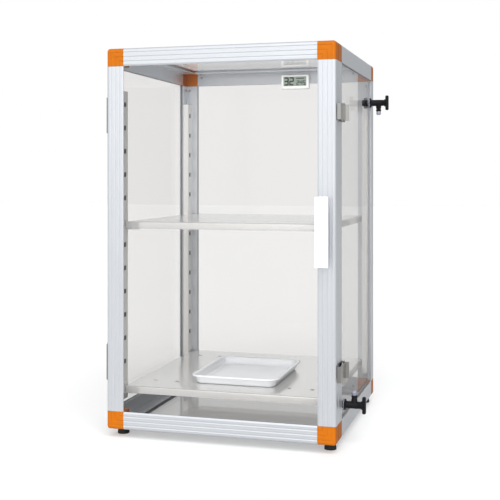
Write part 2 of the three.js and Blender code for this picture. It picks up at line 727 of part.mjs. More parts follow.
function roundedRectangle(width, depth, radius) {
  const [x, y] = [width / 2 - radius, depth / 2 - radius];
  return new THREE.Shape()
    .absarc(x, y, radius, 0, Math.PI / 2, false)
    .absarc(-x, y, radius, Math.PI / 2, Math.PI, false)
    .absarc(-x, -y, radius, Math.PI, 1.5 * Math.PI, false)
    .absarc(x, -y, radius, 1.5 * Math.PI, 2 * Math.PI, false);
}

// A shallow tray with a flat rim all round, standing on the lower shelf.
function tray() {
  const { width, depth, height, wall, rim, corner, x, setback } = TRAY;
  const layer = (inset, low, high) =>
    prism(roundedRectangle(width - 2 * inset, depth - 2 * inset, corner - inset), high - low)
      .translate(0, 0, low);
  const outside = union(layer(rim, 0, height - 1), layer(0, height - wall, height));
  const shape = difference(outside, layer(rim + wall, wall, height + 1));
  const floor = slotHeight(SHELF_SLOTS.lower) + 2 * GAP;
  return mesh("sample_tray", shape.translate(x, setback + depth / 2, floor), whitePlastic);
}

// ---- Assembly -----------------------------------------------------------------------------------

const cabinet = new THREE.Group();
cabinet.add(
  ...bodyFrame(),
  ...panels(),
  ...door(),
  ...hinge("lower", HINGE_INSET),
  ...hinge("upper", HEIGHT - HINGE_INSET),
  latchBase("lower", LATCH_INSET),
  latchLever("lower", LATCH_INSET),
  latchBase("upper", HEIGHT - LATCH_INSET),
  latchLever("upper", HEIGHT - LATCH_INSET),
  ...uprights(),
  shelf("lower"),
  shelf("upper"),
  ...TAPS.flatMap(tap),
  ...feet(),
  hygrometer(),
  tray(),
);

// The origin is the middle of the whole object's footprint, on the surface that it stands on.
const bounds = new THREE.Box3().setFromObject(cabinet, true);
const centre = bounds.getCenter(new THREE.Vector3());
cabinet.position.set(-centre.x, -centre.y, -bounds.min.z);

const part = new THREE.Group();
part.add(cabinet);

export default part;
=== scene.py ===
"""Looks of a clear framed desiccator cabinet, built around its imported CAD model.

Every object is in metres in the model's own frame: +Z up, +X right, the door faces -Y.
"""

import math

import bmesh
import bpy
from mathutils import Matrix, Vector
from mathutils.geometry import tessellate_polygon


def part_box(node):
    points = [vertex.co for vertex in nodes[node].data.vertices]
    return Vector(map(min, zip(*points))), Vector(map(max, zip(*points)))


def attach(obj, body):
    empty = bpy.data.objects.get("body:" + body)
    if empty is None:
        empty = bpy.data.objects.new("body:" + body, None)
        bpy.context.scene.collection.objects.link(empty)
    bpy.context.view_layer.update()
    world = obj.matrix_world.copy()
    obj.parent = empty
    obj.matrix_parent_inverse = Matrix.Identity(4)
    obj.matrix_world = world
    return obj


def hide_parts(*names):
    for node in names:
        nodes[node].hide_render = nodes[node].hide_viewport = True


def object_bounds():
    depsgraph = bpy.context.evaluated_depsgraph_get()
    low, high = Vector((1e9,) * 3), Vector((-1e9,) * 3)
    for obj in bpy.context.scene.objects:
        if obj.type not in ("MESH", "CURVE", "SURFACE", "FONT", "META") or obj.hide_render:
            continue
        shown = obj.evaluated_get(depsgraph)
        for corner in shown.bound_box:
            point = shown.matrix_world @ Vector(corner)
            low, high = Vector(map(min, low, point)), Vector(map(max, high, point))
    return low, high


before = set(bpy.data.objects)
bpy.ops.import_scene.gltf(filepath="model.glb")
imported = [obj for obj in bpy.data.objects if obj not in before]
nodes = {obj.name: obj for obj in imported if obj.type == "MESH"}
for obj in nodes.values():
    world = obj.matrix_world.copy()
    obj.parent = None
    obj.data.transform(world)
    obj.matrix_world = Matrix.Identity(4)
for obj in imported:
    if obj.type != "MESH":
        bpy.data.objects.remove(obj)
cad_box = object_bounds()

MM = 0.001

# ---- Camera, world and floor --------------------------------------------------------------------

CAMERA_PLACE = (0.4692, -1.6793, 0.4405)
CAMERA_TURN = math.radians(15.96)
CAMERA_LENS = 69.55
CAMERA_SHIFT = -0.149  # the camera is level, so that the posts stay parallel

STUDIO_SIDES = 0.3  # what follows is added to this
STUDIO_AHEAD = 0.8
STUDIO_AHEAD_LEFT = 0.48
STUDIO_BEHIND = 0.75
STUDIO_BEHIND_RIGHT = 0.1
STUDIO_ON_MATT = 0.45  # share of the studio's light that falls on matt surfaces
STUDIO_TINT = (0.97, 0.985, 1.0, 1.0)
# The directions between which the studio's parts fade, as one coordinate of a unit vector.
AHEAD_EDGE = (-0.32, 0.04)  # y
AHEAD_LEFT_EDGE = (-0.5, -0.05)  # x
AHEAD_LOW_EDGE = (-0.35, 0.25)  # z
AHEAD_LOW_SHARE = 0.72
BEHIND_EDGE = (0.7, 0.97)  # y
BEHIND_RIGHT_EDGE = (-0.15, 0.14)  # x
LAMPS = [  # name, energy, tilt and turn in degrees
    ("high_lamp", 2.1, 30, 16),
    ("front_lamp", 1.3, 70, 10),
    ("low_lamp", 1.9, 106, 8),
    ("back_lamp", 0.9, -55, -10),
]
LAMP_WIDTH = math.radians(45)
FLOOR_SEEN = 0.6
FLOOR_GLOW = 0.38
FLOOR_REFLECTED = 0.42
FLOOR_HALF = 12.0
FLOOR_DROP = 0.4 * MM  # below the feet
WHITE = (1.0, 1.0, 1.0, 1.0)


def make_camera():
    """The main view, from a little to the right of the door."""
    data = bpy.data.cameras.new("camera")
    data.sensor_width = 36.0
    data.lens = CAMERA_LENS
    data.shift_y = CAMERA_SHIFT
    data.clip_end = 60.0
    camera = bpy.data.objects.new("camera", data)
    camera.location = CAMERA_PLACE
    camera.rotation_euler = (math.radians(90), 0, CAMERA_TURN)
    bpy.context.scene.collection.objects.link(camera)
    bpy.context.scene.camera = camera


def ramp(tree, value, low, high, at_low, at_high):
    """A number that runs smoothly between two values as another goes from low to high."""
    node = tree.nodes.new("ShaderNodeMapRange")
    node.interpolation_type = "SMOOTHSTEP"
    for socket, number in zip(node.inputs[1:5], (low, high, at_low, at_high)):
        socket.default_value = number
    tree.links.new(value, node.inputs[0])
    return node.outputs[0]


def arithmetic(tree, operation, *values):
    """The result of a Math node on links and plain numbers."""
    node = tree.nodes.new("ShaderNodeMath")
    node.operation = operation
    for socket, value in zip(node.inputs, values):
        if isinstance(value, float):
            socket.default_value = value
        else:
            tree.links.new(value, socket)
    return node.outputs[0]


def make_world():
    """A white studio: bright before the door, dim overhead and at both sides, half bright behind."""
    world = bpy.data.worlds.new("studio")
    world.use_nodes = True
    tree = world.node_tree
    tree.nodes.clear()
    add, link = tree.nodes.new, tree.links.new
    direction = add("ShaderNodeSeparateXYZ")
    link(add("ShaderNodeTexCoord").outputs["Generated"], direction.inputs[0])
    x, y, z = direction.outputs
    ahead = ramp(tree, x, *AHEAD_LEFT_EDGE, STUDIO_AHEAD_LEFT, STUDIO_AHEAD)
    ahead = arithmetic(tree, "MULTIPLY", ahead, ramp(tree, z, *AHEAD_LOW_EDGE, AHEAD_LOW_SHARE, 1.0))
    behind = ramp(tree, x, *BEHIND_RIGHT_EDGE, STUDIO_BEHIND, STUDIO_BEHIND_RIGHT)
    is_ahead = ramp(tree, y, *AHEAD_EDGE, 1.0, 0.0)
    strength = arithmetic(tree, "MULTIPLY_ADD", ahead, is_ahead, STUDIO_SIDES)
    is_behind = ramp(tree, y, *BEHIND_EDGE, 0.0, 1.0)
    strength = arithmetic(tree, "MULTIPLY_ADD", behind, is_behind, strength)
    path = add("ShaderNodeLightPath")
    share = ramp(tree, path.outputs["Is Diffuse Ray"], 0.0, 1.0, 1.0, STUDIO_ON_MATT)
    strength = arithmetic(tree, "MULTIPLY", strength, share)
    studio = add("ShaderNodeBackground")
    studio.inputs["Color"].default_value = STUDIO_TINT
    link(strength, studio.inputs["Strength"])
    backdrop = add("ShaderNodeBackground")
    backdrop.inputs["Color"].default_value = WHITE
    choice = add("ShaderNodeMixShader")
    link(path.outputs["Is Camera Ray"], choice.inputs[0])
    link(studio.outputs[0], choice.inputs[1])
    link(backdrop.outputs[0], choice.inputs[2])
    link(choice.outputs[0], add("ShaderNodeOutputWorld").inputs[0])
    bpy.context.scene.world = world


def make_lights():
    """Wide lamps for matt surfaces only: high up, before the door, from below it, and behind."""
    for name, energy, tilt, turn in LAMPS:
        sun = bpy.data.lights.new(name, "SUN")
        sun.energy = energy
        sun.angle = LAMP_WIDTH
        lamp = bpy.data.objects.new(name, sun)
        lamp.rotation_euler = (math.radians(tilt), math.radians(turn), 0)
        lamp.visible_glossy = False
        bpy.context.scene.collection.objects.link(lamp)


def make_floor():
    """White paper, burnt out to white in the picture and greyer in the metal's reflections. It
    casts no shadow, so that the low lamp can stand in for the light that paper throws back up."""
    material = bpy.data.materials.new("floor_paper")
    material.use_nodes = True
    tree = material.node_tree
    tree.nodes.clear()
    choice = tree.nodes.new("ShaderNodeMixShader")
    seen = tree.nodes.new("ShaderNodeLightPath").outputs["Is Camera Ray"]
    tree.links.new(seen, choice.inputs[0])
    for socket, grey, glow in ((1, FLOOR_REFLECTED, 0.0), (2, FLOOR_SEEN, FLOOR_GLOW)):
        paper = tree.nodes.new("ShaderNodeBsdfPrincipled")
        paper.inputs["Base Color"].default_value = (grey, grey, grey, 1.0)
        paper.inputs["Roughness"].default_value = 1.0
        paper.inputs["Specular IOR Level"].default_value = 0.0
        paper.inputs["Emission Color"].default_value = WHITE
        paper.inputs["Emission Strength"].default_value = glow
        tree.links.new(paper.outputs[0], choice.inputs[socket])
    output = tree.nodes.new("ShaderNodeOutputMaterial")
    tree.links.new(choice.outputs[0], output.inputs["Surface"])
    signs = ((-1, -1), (1, -1), (1, 1), (-1, 1))
    corners = [(x * FLOOR_HALF, y * FLOOR_HALF, -FLOOR_DROP) for x, y in signs]
    mesh = bpy.data.meshes.new("floor")
    mesh.from_pydata(corners, [], [(0, 1, 2, 3)])
    mesh.materials.append(material)
    floor = bpy.data.objects.new("floor", mesh)
    floor.visible_shadow = False
    bpy.context.scene.collection.objects.link(floor)


# ---- Materials ----------------------------------------------------------------------------------


def new_material(name):
    """A material with its node tree and its Principled shader."""
    material = bpy.data.materials.new(name)
    material.use_nodes = True
    tree = material.node_tree
    shader = tree.nodes["Principled BSDF"]
    return material, tree, shader


def noise(tree, stretch, detail=3.0):
    """A noise value over the surface. stretch says how often it repeats in a metre along each axis."""
    place = tree.nodes.new("ShaderNodeTexCoord")
    mapping = tree.nodes.new("ShaderNodeMapping")
    mapping.inputs["Scale"].default_value = stretch
    pattern = tree.nodes.new("ShaderNodeTexNoise")
    pattern.inputs["Scale"].default_value = 1.0
    pattern.inputs["Detail"].default_value = detail
    tree.links.new(place.outputs["Object"], mapping.inputs[0])
    tree.links.new(mapping.outputs[0], pattern.inputs["Vector"])
    return pattern.outputs["Fac"]


def spread(tree, value, low, high):
    """A value from 0.3 to 0.7 spread between two numbers."""
    node = tree.nodes.new("ShaderNodeMapRange")
    for socket, number in zip(node.inputs[1:5], (0.3, 0.7, low, high)):
        socket.default_value = number
    tree.links.new(value, node.inputs[0])
    return node.outputs[0]


SOCKETS = {"coat_weight": "Coat Weight", "specular": "Specular IOR Level"}


def surface(name, colour, roughness, metallic=0.0, stretch=(300, 300, 300), mottle=0.03,
            rough_spread=0.05, bump=0.15, bump_depth=0.00005, grain=None, **plain):
    """A Principled material whose colour, roughness and fine relief vary with noise."""
    material, tree, shader = new_material(name)
    pattern = noise(tree, stretch)
    tint = tree.nodes.new("ShaderNodeMix")
    tint.data_type = "RGBA"
    tint.inputs[6].default_value = (*(c * (1 - mottle) for c in colour), 1.0)
    tint.inputs[7].default_value = (*(min(1.0, c * (1 + mottle)) for c in colour), 1.0)
    tree.links.new(spread(tree, pattern, 0.0, 1.0), tint.inputs[0])
    tree.links.new(tint.outputs[2], shader.inputs["Base Color"])
    rough = spread(tree, pattern, roughness - rough_spread, roughness + rough_spread)
    tree.links.new(rough, shader.inputs["Roughness"])
    relief = tree.nodes.new("ShaderNodeBump")
    relief.inputs["Strength"].default_value = bump
    relief.inputs["Distance"].default_value = bump_depth
    tree.links.new(noise(tree, grain or stretch, 2.0), relief.inputs["Height"])
    tree.links.new(relief.outputs[0], shader.inputs["Normal"])
    shader.inputs["Metallic"].default_value = metallic
    for socket, number in plain.items():
        shader.inputs[SOCKETS[socket]].default_value = number
    return material


def along(axis, fine, coarse):
    """Noise repeats in a metre for a grain that runs along one axis."""
    return tuple(coarse if k == axis else fine for k in range(3))


CLEAR_TINT = (0.958, 0.955, 0.952, 1.0)
MIRROR_FACE_ON = 0.014  # share of a clear sheet that reflects
MIRROR_GAIN = 0.6  # what is added to that share edge on
MIRROR_POWER = 5.0


def clear_sheet():
    """A clear sheet: see-through, with a mirror that grows as the sheet is seen edge on."""
    material, tree, shader = new_material("clear_sheet")
    add, link = tree.nodes.new, tree.links.new
    facing = add("ShaderNodeLayerWeight")
    facing.inputs["Blend"].default_value = 0.5
    edge_on = arithmetic(tree, "POWER", facing.outputs["Facing"], MIRROR_POWER)
    share = arithmetic(tree, "MULTIPLY_ADD", edge_on, MIRROR_GAIN, MIRROR_FACE_ON)
    through = add("ShaderNodeBsdfTransparent")
    through.inputs["Color"].default_value = CLEAR_TINT
    shader.inputs["Base Color"].default_value = WHITE
    shader.inputs["Metallic"].default_value = 1.0
    smudges = noise(tree, (9, 9, 9), 4.0)
    link(spread(tree, smudges, 0.015, 0.05), shader.inputs["Roughness"])
    choice = add("ShaderNodeMixShader")
    link(share, choice.inputs[0])
    link(through.outputs[0], choice.inputs[1])
    link(shader.outputs[0], choice.inputs[2])
    link(choice.outputs[0], tree.nodes["Material Output"].inputs["Surface"])
    return material


ALUMINIUM = (0.8, 0.824, 0.858)
aluminium = [
    surface(f"frame_aluminium_{letter}", ALUMINIUM, 0.34, 0.77, along(axis, 900, 9), 0.02, 0.05, 0.12)
    for axis, letter in enumerate("xyz")
]
orange = surface("corner_plastic", (0.47, 0.125, 0.003), 0.42, 0.0, (60, 60, 60), 0.05, 0.04, 0.25,
                 grain=(2600, 2600, 2600), specular=0.26)
clear = clear_sheet()
shelf_steel = surface("shelf_steel", (0.84, 0.83, 0.815), 0.2, 0.66, along(0, 1500, 14), 0.03, 0.05, 0.1)
upright_steel = surface("fitting_steel", (0.92, 0.91, 0.89), 0.38, 0.45, along(2, 1200, 14), 0.03, 0.05,
                        0.1)
latch_steel = surface("latch_steel", (0.5, 0.49, 0.465), 0.2, 1.0, along(1, 1200, 20), 0.03, 0.05, 0.1)
screw_steel = surface("screw_steel", (0.5, 0.49, 0.48), 0.35, 1.0, (900, 900, 900), 0.08, 0.08, 0.1)
white_plastic = surface("handle_plastic", (0.86, 0.87, 0.89), 0.35, 0.0, (40, 40, 40), 0.015, 0.04, 0.15,
                        grain=(3000, 3000, 3000))
meter_plastic = surface("meter_plastic", (0.88, 0.89, 0.88), 0.4, 0.0, (50, 50, 50), 0.015, 0.04, 0.15,
                        grain=(3000, 3000, 3000))
tray_glaze = surface("tray_plastic", (0.93, 0.95, 0.98), 0.12, 0.0, (25, 25, 25), 0.01, 0.03, 0.05,
                     grain=(300, 300, 300), coat_weight=0.4)
black_plastic = surface("tap_plastic", (0.006, 0.006, 0.007), 0.38, 0.0, (90, 90, 90), 0.2, 0.06, 0.25,
                        grain=(2400, 2400, 2400), specular=0.25)
nose_plastic = surface("nose_plastic", (0.42, 0.43, 0.52), 0.18, 0.6, (200, 200, 200), 0.05, 0.04, 0.1)
rubber = surface("foot_rubber", (0.012, 0.012, 0.012), 0.62, 0.0, (150, 150, 150), 0.2, 0.08, 0.3,
                 grain=(1800, 1800, 1800))
seal_rubber = surface("seal_rubber", (0.3, 0.3, 0.3), 0.6, 0.0, (150, 150, 150), 0.08, 0.08, 0.3)
display = surface("display_glass", (0.3, 0.36, 0.31), 0.16, 0.0, (120, 120, 120), 0.05, 0.03, 0.05)
digit_ink = surface("display_digits", (0.006, 0.009, 0.01), 0.4, 0.0, (120, 120, 120), 0.1, 0.04, 0.05)


def member_axis(name):
    """The axis that a frame member or door member runs along, from its box."""
    low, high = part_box(name)
    size = high - low
    return max(range(3), key=lambda k: size[k])


def look_of(name):
    """The material of a CAD node that is shown as it is."""
    if name.endswith(("_post", "_rail", "_stile")):
        return aluminium[member_axis(name)]
    if name.endswith("_panel") or name == "door_pane":
        return clear
    if name.endswith("_shelf"):
        return shelf_steel
    if name.endswith("_upright"):
        return upright_steel
    if "hinge" in name or "latch" in name:
        return latch_steel
    if "tap_" in name:
        return black_plastic
    return {
        "door_seal": seal_rubber, "door_handle": white_plastic, "hygrometer": meter_plastic,
        "sample_tray": tray_glaze,
    }.get(name, rubber if name.endswith("_foot") else orange)


def dress_nodes():
    """Gives each CAD node its material."""
    for name, piece in nodes.items():
        piece.data.materials.clear()
        piece.data.materials.append(look_of(name))


# ---- Mesh helpers -------------------------------------------------------------------------------


def make_piece(name, points, faces, material, body, slot, smooth=0.0):
    """An object from points and faces, in metres in the model's frame, that rides on a body.
    Edges flatter than smooth degrees are shaded smooth."""
    mesh = bpy.data.meshes.new(name)
    work = bmesh.new()
    made = [work.verts.new(point) for point in points]
    for face in faces:
        corners = [made[k] for k in dict.fromkeys(face)]
        if len(corners) > 2:
            work.faces.new(corners)
    bmesh.ops.remove_doubles(work, verts=work.verts, dist=1e-6)
    bmesh.ops.dissolve_degenerate(work, edges=work.edges, dist=1e-7)
    bmesh.ops.recalc_face_normals(work, faces=work.faces)
    for face in work.faces:
        face.smooth = smooth > 0
    for edge in work.edges:
        edge.smooth = len(edge.link_faces) == 2 and edge.calc_face_angle(0) < math.radians(smooth)
    work.to_mesh(mesh)
    work.free()
    mesh.materials.append(material)
    piece = bpy.data.objects.new(name, mesh)
    bpy.context.scene.collection.objects.link(piece)
    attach(piece, body)
    return piece


def join(*parts):
    """Several (points, faces) shapes as one."""
    points, faces = [], []
    for more, theirs in parts:
        start = len(points)
        points.extend(more)
        faces.extend([k + start for k in face] for face in theirs)
    return points, faces


def moved(shape, matrix):
    """A (points, faces) shape moved by a matrix."""
    points, faces = shape
    return [matrix @ Vector(point) for point in points], faces


def lathe(profile, segments=32):
    """A solid of revolution about +Z, from [radius, height] points that start and end on the axis."""
    points, faces = [], []
    for turn in range(segments):
        angle = 2 * math.pi * turn / segments
        points.extend((r * math.cos(angle), r * math.sin(angle), z) for r, z in profile)
    count = len(profile)
    for turn in range(segments):
        here, after = turn * count, (turn + 1) % segments * count
        for k in range(count - 1):
            faces.append([here + k, after + k, after + k + 1, here + k + 1])
    return points, faces


def turned_ring(profile, segments=32):
    """As lathe, from a closed loop of [radius, height] points."""
    return lathe([*profile, profile[0]], segments)


def box_shape(low, high):
    """A box between two corners."""
    x, y, z = zip(low, high)
    points = [(x[i], y[j], z[k]) for i in (0, 1) for j in (0, 1) for k in (0, 1)]
    faces = [[0, 1, 3, 2], [4, 6, 7, 5], [0, 4, 5, 1], [2, 3, 7, 6], [0, 2, 6, 4], [1, 5, 7, 3]]
    return points, faces


def facing(place, direction):
    """A matrix that puts a shape's own +Z along a direction, at a place."""
    turn = Vector((0, 0, 1)).rotation_difference(Vector(direction))
    return Matrix.Translation(place) @ turn.to_matrix().to_4x4()


def rounded_ring(centre, half_x, half_y, radius, z, steps=8):
    """A level rounded rectangle as a ring of points."""
    ring = []
    for quarter, (sx, sy) in enumerate(((1, 1), (-1, 1), (-1, -1), (1, -1))):
        for step in range(steps + 1):
            angle = math.pi / 2 * (quarter + step / steps)
            ring.append((centre.x + sx * (half_x - radius) + radius * math.cos(angle),
                         centre.y + sy * (half_y - radius) + radius * math.sin(angle), z))
    return ring


def walls(loops):
    """The bands between rings of equally many points."""
    count = len(loops[0])
    points = [point for loop in loops for point in loop]
    faces = []
    for k in range(len(loops) - 1):
        for i in range(count):
            j = (i + 1) % count
            faces.append([k * count + i, k * count + j, (k + 1) * count + j, (k + 1) * count + i])
    return points, faces


# ---- Corner blocks ------------------------------------------------------------------------------

BEAM = 30 * MM
LEG = 7 * MM
EDGE = 5 * MM
FLUTE_PITCH = 7.5 * MM
FLUTE_HALF = 1.5 * MM
FLUTE_FLOOR = FLUTE_HALF / 3
FLUTE_DEPTH = 0.6 * MM
EDGE_STEPS = 4


def flute_marks():
    """Distances from a block's outer edge where its relief changes, each with the flutes' depth there."""
    marks = [(EDGE * k / EDGE_STEPS, 0.0) for k in range(EDGE_STEPS + 1)]
    middle = FLUTE_PITCH
    while middle + FLUTE_HALF < BEAM:
        marks += [(middle - FLUTE_HALF, 0.0), (middle - FLUTE_FLOOR, FLUTE_DEPTH)]
        marks += [(middle + FLUTE_FLOOR, FLUTE_DEPTH), (middle + FLUTE_HALF, 0.0)]
        middle += FLUTE_PITCH
    return [*marks, (BEAM, 0.0)]


def marks_within(marks, reach):
    """The marks that lie on a face that reaches so far."""
    return [mark for mark in marks if mark[0] <= reach + 1e-9]


def rounded(point):
    """A point of a block's sharp outer faces, moved onto its rounded edges."""
    core = Vector([max(value, EDGE) for value in point])
    out = Vector(point) - core
    return core + out.normalized() * EDGE


def outer_face(axis, marks, reach, fluted):
    """One outer face of a block. A fluted one carries the flutes of the two members it joins, mitred."""
    first, second = (axis + 1) % 3, (axis + 2) % 3
    rows = marks_within(marks, reach[first])
    columns = marks_within(marks, reach[second])
    points, faces = [], []
    for u, depth_u in rows:
        for v, depth_v in columns:
            point = [0.0, 0.0, 0.0]
            point[first], point[second] = u, v
            place = rounded(point)
            if fluted:
                place[axis] += depth_u if u < v else depth_v
            points.append(place)
    wide = len(columns)
    for i in range(len(rows) - 1):
        for j in range(wide - 1):
            k = i * wide + j
            square = [k, k + 1, k + wide + 1, k + wide]
            if i == j:
                faces += [[square[0], square[1], square[2]], [square[0], square[2], square[3]]]
            else:
                faces.append(square)
    return points, faces


def end_cap(axis, marks, reach, hollow, fluted):
    """The end of a block across an axis, where a member butts against it."""
    first, second = (axis + 1) % 3, (axis + 2) % 3

    def at(u, v):
        point = [0.0, 0.0, 0.0]
        point[axis], point[first], point[second] = reach[axis], u, v
        return point

    outline = []
    for u, depth in reversed(marks_within(marks, reach[first])):
        place = rounded(at(u, 0.0))
        place[second] += depth if second == fluted else 0.0
        outline.append(place)
    for v, depth in marks_within(marks, reach[second])[1:]:
        place = rounded(at(0.0, v))
        place[first] += depth if first == fluted else 0.0
        outline.append(place)
    if hollow:
        inner = [(LEG, reach[second]), (LEG, LEG), (reach[first], LEG)]
    else:
        inner = [(reach[first], reach[second])]
    outline += [Vector(at(u, v)) for u, v in inner]
    return outline, [list(range(len(outline)))]


def block_shape(reach, hollow, fluted):
    """A corner block with its outer corner at the origin, reaching along +X, +Y and +Z. fluted is
    the axis across its fluted face, or None."""
    marks = flute_marks()
    extra = sorted({value for value in reach if value < BEAM})
    marks = sorted([*marks, *((value, 0.0) for value in extra)])
    parts = [outer_face(axis, marks, reach, axis == fluted) for axis in range(3)]
    parts += [end_cap(axis, marks, reach, hollow, fluted) for axis in range(3)]
    if hollow:
        for axis in range(3):
            first, second = (axis + 1) % 3, (axis + 2) % 3
            square = []
            for u, v in ((LEG, LEG), (BEAM, LEG), (BEAM, BEAM), (LEG, BEAM)):
                point = [LEG, LEG, LEG]
                point[first], point[second] = u, v
                square.append(point)
            parts.append((square, [[0, 1, 2, 3]]))
    return join(*parts)


def make_corners():
    """The corner blocks: fluted in front on the door, and hollow on the body."""
    for name in sorted(nodes):
        if not name.endswith("_corner"):
            continue
        low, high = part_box(name)
        door = name.startswith("door")
        shape = block_shape(list(high - low), hollow=not door, fluted=1 if door else None)
        words = name.split("_")
        signs = (1 if "left" in words else -1, -1 if "back" in words else 1, -1 if "top" in words else 1)
        origin = [low[k] if signs[k] > 0 else high[k] for k in range(3)]
        matrix = Matrix.Translation(origin) @ Matrix.Diagonal((*signs, 1))
        body = "door" if door else "cabinet"
        piece = make_piece(f"{name}_block", *moved(shape, matrix), orange, body, "corner_plastic", 25)
        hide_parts(name)


# ---- Screws -------------------------------------------------------------------------------------


SCREW_END_INSET = 9 * MM  # from a member's end
SCREW_EDGE_INSET = 13.5 * MM  # from a member's outer edge
HINGE_LEAF = 1.6 * MM
HINGE_SCREW_INSET = 5 * MM


def screw_head(radius, height):
    """A pan head with a square driver recess, standing on z = 0."""
    dome = [(0.0, 0.0), (radius, 0.0), (radius, 0.35 * height)]
    for step in range(1, 4):
        angle = math.pi / 2 * step / 4
        dome.append((radius * (0.55 + 0.45 * math.cos(angle)), height * (0.35 + 0.65 * math.sin(angle))))
    recess = 0.38 * radius
    dome += [(recess, height), (recess, 0.45 * height), (0.0, 0.45 * height)]
    return lathe(dome, 16)


def make_screws():
    """A screw through each inner leg of the body's members, near both of their ends."""
    heads = []
    radius, height = 2.3 * MM, 1.5 * MM
    for name in sorted(nodes):
        if not name.endswith(("_post", "_rail")) or name.startswith("door"):
            continue
        low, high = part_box(name)
        run = member_axis(name)
        centre = Vector([(cad_box[0][k] + cad_box[1][k]) / 2 for k in range(3)])
        sides = [k for k in range(3) if k != run]
        for leg in sides:
            other = sides[1] if leg == sides[0] else sides[0]
            if leg == 1 and "front" in name:
                continue
            inwards = 1 if (low[leg] + high[leg]) / 2 < centre[leg] else -1
            place = Vector((0, 0, 0))
            place[leg] = (low[leg] if inwards > 0 else high[leg]) + inwards * LEG
            across = 1 if (low[other] + high[other]) / 2 < centre[other] else -1
            edge = low[other] if across > 0 else high[other]
            place[other] = edge + across * SCREW_EDGE_INSET
            direction = Vector((0, 0, 0))
            direction[leg] = inwards
            for end in (low[run] + SCREW_END_INSET, high[run] - SCREW_END_INSET):
                place[run] = end
                heads.append(moved(screw_head(radius, height), facing(place.copy(), direction)))
    make_piece("frame_screws", *join(*heads), screw_steel, "cabinet", "fitting_steel", 30)


def make_hinge_screws():
    """Three screws in each hinge leaf."""
    radius, height = 2.4 * MM, 0.9 * MM
    for level in ("lower", "upper"):
        for part, body in (("body_leaf", "cabinet"), ("door_leaf", "door")):
            low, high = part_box(f"{level}_hinge_{part}")
            y = high.y - HINGE_SCREW_INSET if part == "body_leaf" else low.y + HINGE_SCREW_INSET
            outer = high.x - HINGE_LEAF
            heads = []
            for share in (0.16, 0.5, 0.84):
                place = (outer, y, low.z + share * (high.z - low.z))
                heads.append(moved(screw_head(radius, height), facing(place, (-1, 0, 0))))
            name = f"{level}_hinge_{part}_screws"
            make_piece(name, *join(*heads), screw_steel, body, "fitting_steel", 30)


# ---- Uprights -----------------------------------------------------------------------------------


def make_painted_slot_shade():
    """A dark strip behind the slots of each upright, painted shade for the shut hollow there, hidden from
    outside by the posts' legs.
    """
    plate, half, gap, thickness, end_gap = 1.5 * MM, 7 * MM, 0.2 * MM, 0.5 * MM, 2 * MM
    clip = 24 * MM  # how far the clips reach in from an upright's face
    for end in ("front", "back"):
        for side in ("left", "right"):
            name = f"{end}_{side}_upright"
            low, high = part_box(name)
            middle = (low.y + high.y) / 2
            face = high.x - clip if side == "left" else low.x + clip
            away = -1 if side == "left" else 1
            near = face + away * (plate + gap)
            far = near + away * thickness
            shape = box_shape([min(near, far), middle - half, low.z + end_gap],
                              [max(near, far), middle + half, high.z - end_gap])
            # The strip is painted shade: it makes the slots look as dark as the shadowed hollow behind
            # them.
            make_piece(f"{name}_backing", *shape, rubber, "cabinet", "fitting_steel", 0)


# ---- Shelves ------------------------------------------------------------------------------------


def ring_of(loop, z):
    """[x, y] points as a ring at one height."""
    return [(x, y, z) for x, y in loop]


def rectangle_loop(low, high, inset, radius, steps=4):
    """A level rectangle with rounded corners, as [x, y] points."""
    centre, half = (low + high) / 2, (high - low) / 2 - Vector((inset, inset, 0))
    return [point[:2] for point in rounded_ring(centre, half.x, half.y, radius, 0.0, steps)]


def pierced(outline, holes, z):
    """A level sheet with round holes, as triangles."""
    loops = [ring_of(loop, z) for loop in (outline, *holes)]
    points = [point for loop in loops for point in loop]
    faces = tessellate_polygon([[Vector(point) for point in loop] for loop in loops])
    return points, [list(face) for face in faces]


VENT_SIDES = 20


def make_shelf(name):
    """A folded steel tray-like shelf with rounded folds and two rows of round vents."""
    low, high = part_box(name)
    sheet, fold = 1.2 * MM, 2.2 * MM
    vent, pitch, row, end = 4 * MM, 40 * MM, 55 * MM, 20 * MM
    columns = 1 + math.floor((high.x - low.x - 2 * end) / pitch)
    middle = (low.x + high.x) / 2
    circle = [2 * math.pi * k / VENT_SIDES for k in range(VENT_SIDES)]
    holes = []
    for column in range(columns):
        x = middle + (column - (columns - 1) / 2) * pitch
        for y in (low.y + row, high.y - row):
            holes.append([(x + vent * math.cos(t), y + vent * math.sin(t)) for t in circle])
    loops = []
    turns = (0, 0.4, 0.8, 1.2, math.pi / 2)
    rounds = [(fold * (1 - math.cos(t)), fold * (1 - math.sin(t))) for t in turns]
    for inset, drop in [(0.0, high.z - low.z), *rounds]:
        corner = 3 * MM - min(inset, 2 * MM)
        loops.append(ring_of(rectangle_loop(low, high, inset, corner), high.z - drop))
    inner = [(sheet, sheet + 1.2 * MM), (sheet + 0.4 * MM, sheet + 0.4 * MM), (sheet + 1.2 * MM, sheet)]
    under = []
    for inset, drop in [(sheet, high.z - low.z), *inner]:
        corner = max(3 * MM - inset, 0.5 * MM)
        under.append(ring_of(rectangle_loop(low, high, inset, corner), high.z - drop))
    parts = [walls(loops), walls(under), walls([loops[0], under[0]])]
    parts.append(pierced([point[:2] for point in loops[-1]], holes, high.z))
    parts.append(pierced([point[:2] for point in under[-1]], holes, high.z - sheet))
    parts += [walls([ring_of(hole, high.z), ring_of(hole, high.z - sheet)]) for hole in holes]
    piece = make_piece(f"{name}_sheet", *join(*parts), shelf_steel, name, "shelf_steel", 40)
    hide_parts(name)


# ---- Taps ---------------------------------------------------------------------------------------


TAP_OUTLET_X = 18 * MM  # from the panel to the hose outlet's axis
GROOVES = 3  # round the barrel's collar
GROOVE_START = 24 * MM
GROOVE_PITCH = 1.8 * MM
SOCKET_RADIUS = 3.3 * MM  # of the barrel's socket for the plug
SOCKET_DEPTH = 5.5 * MM


